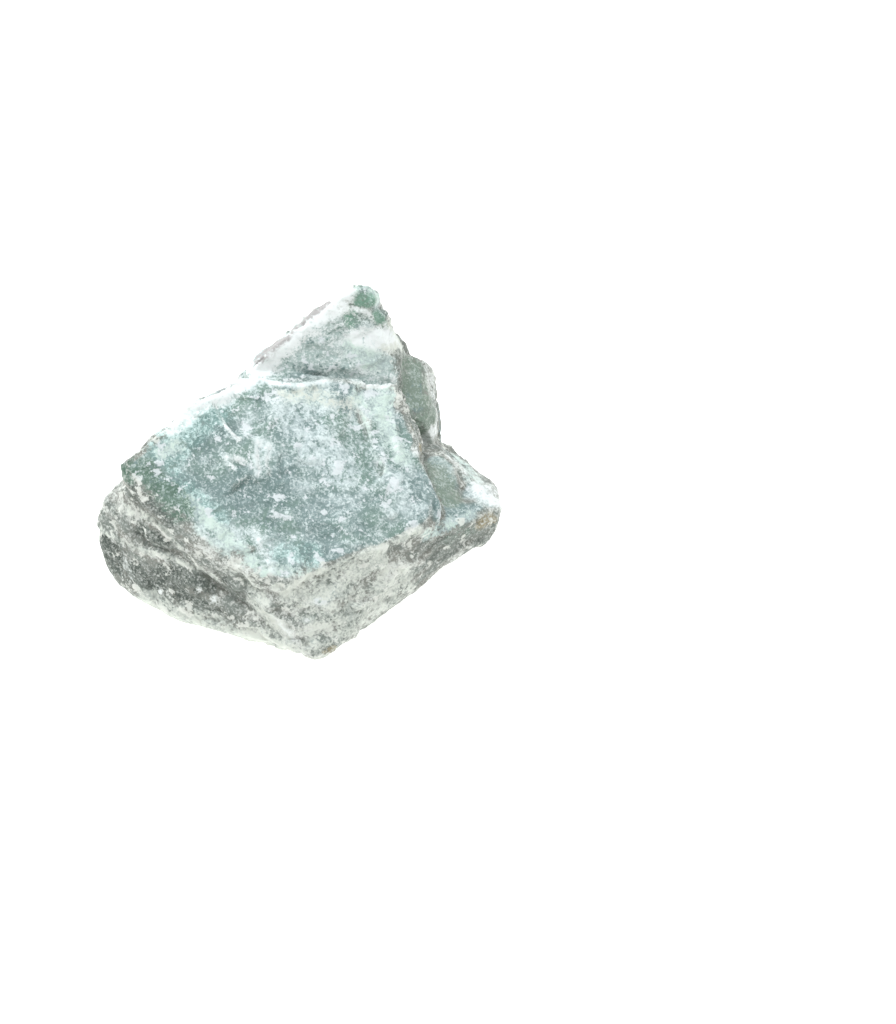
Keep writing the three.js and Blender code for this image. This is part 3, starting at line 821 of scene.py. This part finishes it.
def quartzite(settings):
    """Green aventurine quartzite, broken by hand and never polished. Its parting faces are
    blue-green with mica, and its sides grey. Quartz grains and patches clear of mica show through
    as white specks, drawn out into streaks along the sheets; struck edges are crushed white, and
    along the backlit upper-left edges and the slab's front edge that white is partly painted
    highlight."""
    material = bpy.data.materials.new("green aventurine quartzite, broken")
    material.use_nodes = True
    tree = material.node_tree
    tree.nodes.clear()

    # Two spaces squashed across the sheets: a little for the grains, and hard for the streaks,
    # where the sheets are gently folded.
    at = add(tree, "ShaderNodeTexCoord").outputs["Object"]
    fold = add(tree, "ShaderNodeTexNoise", {"Vector": at, "Scale": 1 / (9 * MM), "Detail": 1.0})
    folded = add(tree, "ShaderNodeVectorMath",
                 {0: fold.outputs["Color"], 1: (3 * MM, 3 * MM, 3 * MM), 2: at},
                 operation="MULTIPLY_ADD")
    turn = ACROSS_SHEETS.to_track_quat("Z", "Y").to_euler()
    lying, drawn = (
        add(tree, "ShaderNodeMapping", {"Vector": space, "Rotation": turn, "Scale": (1, 1, squash)},
            vector_type="TEXTURE")
        for space, squash in ((at, 0.55), (folded, 0.2)))
    field = {
        name: add(tree, "ShaderNodeTexNoise", {"Vector": space, "Scale": 1 / (width * MM),
                                               "Detail": detail, "Roughness": roughness})
        for name, space, width, detail, roughness in (
            ("patch", lying, 3.0, 4.0, 0.6),
            ("drift", lying, 8.0, 2.0, 0.5),
            ("bruise", lying, 1.9, 3.0, 0.55),
            ("ragged", lying, 1.5, 4.0, 0.7),
            ("streak", drawn, 5.0, 4.0, 0.65),
            ("pits", lying, 0.5, 3.0, 0.7),
        )}
    for name, width in (("grain", 0.32), ("sugar", 0.18)):
        field[name] = add(tree, "ShaderNodeTexVoronoi",
                          {"Vector": lying, "Scale": 1 / (width * MM)}).outputs["Color"]
    field.update({name: add(tree, "ShaderNodeAttribute", attribute_name=name).outputs["Fac"]
                  for name in ("parting", "proud", "arris", *(zone for zone, *_ in ZONE_FINISHES))})
    side = add(tree, "ShaderNodeMath", {0: 1.0, 1: field["parting"]}, operation="SUBTRACT")
    field["seam"] = add(tree, "ShaderNodeMath",
                        {0: total(tree, -0.5, (field["streak"], 1.0)), 1: side},
                        operation="MULTIPLY")

    # How far the quartz shows through the mica: its grains, patches, drifts and zones added up.
    # The grains alone also dust the mica everywhere.
    dust = total(tree, 0.0, (field["grain"], 0.5), (field["sugar"], 0.5))
    shares = {"grain": 0.26, "sugar": 0.26, "patch": 0.92, "drift": 0.38}
    quartz = total(tree, 0.5 - 0.5 * sum(shares.values()),
                   *((field[name], share) for name, share in shares.items()),
                   (field["seam"], 0.8), (side, -0.03), (field["proud"], 0.45),
                   *((field[zone], more) for zone, more, _, _ in ZONE_FINISHES))

    # Glassy rock is more even.
    even = 0.42
    calm = add(tree, "ShaderNodeMath", {0: field["glassy"], 1: 0.3}, operation="MULTIPLY")
    quartz = add(tree, "ShaderNodeMix", {0: calm, 2: quartz, 3: even})
    dust = add(tree, "ShaderNodeMix", {0: calm, 2: dust, 3: even})

    # The mica-rich body, and the quartz on it, each with its zones' colours and frayed borders.
    frayed = total(tree, -1.0, (field["ragged"], 3.0), (field["grain"], 1.0))
    body = lay(tree, linear(settings.teal), linear(settings.green), field["drift"], 0.4, 0.6)
    body = lay(tree, body, linear(settings.haze), field["patch"], 0.42, 0.75)
    seamed = lay(tree, linear(settings.grey), linear(settings.brown), field["streak"], 0.4, 0.6)
    body = lay(tree, seamed, body, field["parting"], 0.0, 1.0)
    clear = lay(tree, linear(settings.speck_side), linear(settings.speck), field["parting"],
                0.0, 1.0)
    for zone, _, under, over in ZONE_FINISHES:
        where = total(tree, 0.0, (field[zone], frayed))
        if under:
            body = lay(tree, body, linear(getattr(settings, under)), where, 0.25, 0.8)
        if over:
            clear = lay(tree, clear, linear(getattr(settings, over)), where, 0.2, 0.8)
    body = lay(tree, body, clear, dust, 0.4, 0.9, 0.6)
    colour = lay(tree, body, clear, quartz, 0.42, 0.92)

    # Small crushed patches lie over both.
    bruised = total(tree, field["bruise"], (field["arris"], 0.5), (field["chalk"], -0.3),
                    (dust, 0.14), (field["glassy"], -0.2))
    bruise = lay(tree, linear(settings.scuff), linear(settings.bruise), field["parting"], 0.0, 1.0)
    colour = lay(tree, colour, bruise, bruised, 0.65, 0.72, 0.8)

    # Grains and pits roughen the broken faces, and glassy rock is a little smoother. The index is
    # that of quartz, and light goes under a millimetre into the rock before it comes out.
    rough = add(tree, "ShaderNodeMapRange",
                {"Value": field["glassy"], 1: 0.2, 2: 0.8, 3: 0.62, 4: 0.4})
    bumps = total(tree, quartz, (field["pits"], 1.4))
    bump = add(tree, "ShaderNodeBump", {"Strength": 0.5, "Distance": 0.12 * MM, "Height": bumps})
    shader = add(tree, "ShaderNodeBsdfPrincipled", {
        "Base Color": colour, "Roughness": rough, "Normal": bump, "IOR": 1.544,
        "Subsurface Weight": 0.18, "Subsurface Radius": (1.0, 1.15, 1.05),
        "Subsurface Scale": 0.7 * MM})
    add(tree, "ShaderNodeOutputMaterial", {"Surface": shader})
    return material


class QUARTZ_OT_stone(bpy.types.Operator):
    """Builds the broken stone on its CAD solid and gives it its quartzite"""

    bl_idname = "quartz.stone"
    bl_label = "Stone"

    def execute(self, context):
        settings = context.scene.quartz_stone
        stone = remeshed(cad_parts[NODE], settings.fineness)
        sculpt(stone)
        mark(stone)

        sizes = {name: getattr(settings, name.lower().replace(" ", "_")) for name in RELIEF_SIZES}
        tree = relief_tree(sizes)
        relief = stone.modifiers.new("broken surface", "NODES")
        relief.node_group = tree
        inputs = {**sizes, "Quartzite": quartzite(settings)}
        for socket in tree.interface.items_tree:
            if socket.name in inputs:
                relief[socket.identifier] = inputs[socket.name]
        settle(stone)
        blunt(stone)

        thin = stone.modifiers.new("thin", "DECIMATE")
        thin.ratio = min(1.0, settings.triangles / triangles(stone.data))
        settle(stone)
        mark(stone)
        if triangles(stone.data) > MOST_TRIANGLES:
            raise RuntimeError("the stone's mesh is too fine: raise Fineness")

        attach(stone, "root")
        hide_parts(NODE)
        return {"FINISHED"}


class QUARTZ_OT_stage(bpy.types.Operator):
    """Sets the pale table, the soft light and the camera"""

    bl_idname = "quartz.stage"
    bl_label = "Stage"

    def execute(self, context):
        settings = context.scene.quartz_stage
        scene = context.scene

        half = settings.floor_size / 2
        mesh = bpy.data.meshes.new("table top")
        corners = [(-half, -half, 0), (half, -half, 0), (half, half, 0), (-half, half, 0)]
        mesh.from_pydata(corners, [], [(0, 1, 2, 3)])
        floor = bpy.data.objects.new("table_top", mesh)
        scene.collection.objects.link(floor)
        paper = bpy.data.materials.new("opal acrylic light table")
        paper.use_nodes = True
        shader = paper.node_tree.nodes["Principled BSDF"]
        shader.inputs["Base Color"].default_value = linear(settings.floor_colour)
        shader.inputs["Roughness"].default_value = 0.8
        shader.inputs["Emission Color"].default_value = linear(settings.floor_colour)
        shader.inputs["Emission Strength"].default_value = settings.floor_glow
        mesh.materials.append(paper)

        world = bpy.data.worlds.new("white room")
        world.use_nodes = True
        world.node_tree.nodes["Background"].inputs["Color"].default_value = (1, 1, 1, 1)
        world.node_tree.nodes["Background"].inputs["Strength"].default_value = settings.sky
        scene.world = world
        scene.view_settings.view_transform = "Standard"

        for name, place, side, power, tint in LAMPS:
            light = bpy.data.lights.new(name, "AREA")
            light.shape = "SQUARE"
            light.size = side
            light.energy = power
            light.color = linear(tint)[:3]
            lamp = bpy.data.objects.new(name, light)
            lamp.location = place
            lamp.rotation_euler = (-Vector(place)).to_track_quat("-Z", "Y").to_euler()
            lamp.visible_camera = False
            scene.collection.objects.link(lamp)

        camera = bpy.data.objects.new("camera", bpy.data.cameras.new("camera"))
        camera.data.lens = settings.lens
        camera.data.clip_start = 0.01
        aim = Vector(CAMERA_AIM) * MM
        back = Vector((0, -math.cos(settings.camera_height), math.sin(settings.camera_height)))
        camera.location = aim + back * settings.camera_distance
        camera.rotation_euler = (-back).to_track_quat("-Z", "Y").to_euler()
        scene.collection.objects.link(camera)
        scene.camera = camera
        return {"FINISHED"}


class QUARTZ_PT_panel(bpy.types.Panel):
    """The stone's and the stage's settings, and a button for each"""

    bl_idname = "QUARTZ_PT_panel"
    bl_label = "Raw green quartz"
    bl_space_type = "VIEW_3D"
    bl_region_type = "UI"
    bl_category = "Quartz"

    def draw(self, context):
        for settings, operator in (
            (context.scene.quartz_stone, QUARTZ_OT_stone),
            (context.scene.quartz_stage, QUARTZ_OT_stage),
        ):
            box = self.layout.box()
            for name in settings.__annotations__:
                box.prop(settings, name)
            box.operator(operator.bl_idname)


CLASSES = (QuartzStone, QuartzStage, QUARTZ_OT_stone, QUARTZ_OT_stage, QUARTZ_PT_panel)


def register():
    for cls in CLASSES:
        bpy.utils.register_class(cls)
    bpy.types.Scene.quartz_stone = bpy.props.PointerProperty(type=QuartzStone)
    bpy.types.Scene.quartz_stage = bpy.props.PointerProperty(type=QuartzStage)


def unregister():
    del bpy.types.Scene.quartz_stage
    del bpy.types.Scene.quartz_stone
    for cls in reversed(CLASSES):
        bpy.utils.unregister_class(cls)


def main():
    register()
    bpy.ops.quartz.stone()
    bpy.ops.quartz.stage()


if __name__ == "__main__":
    main()
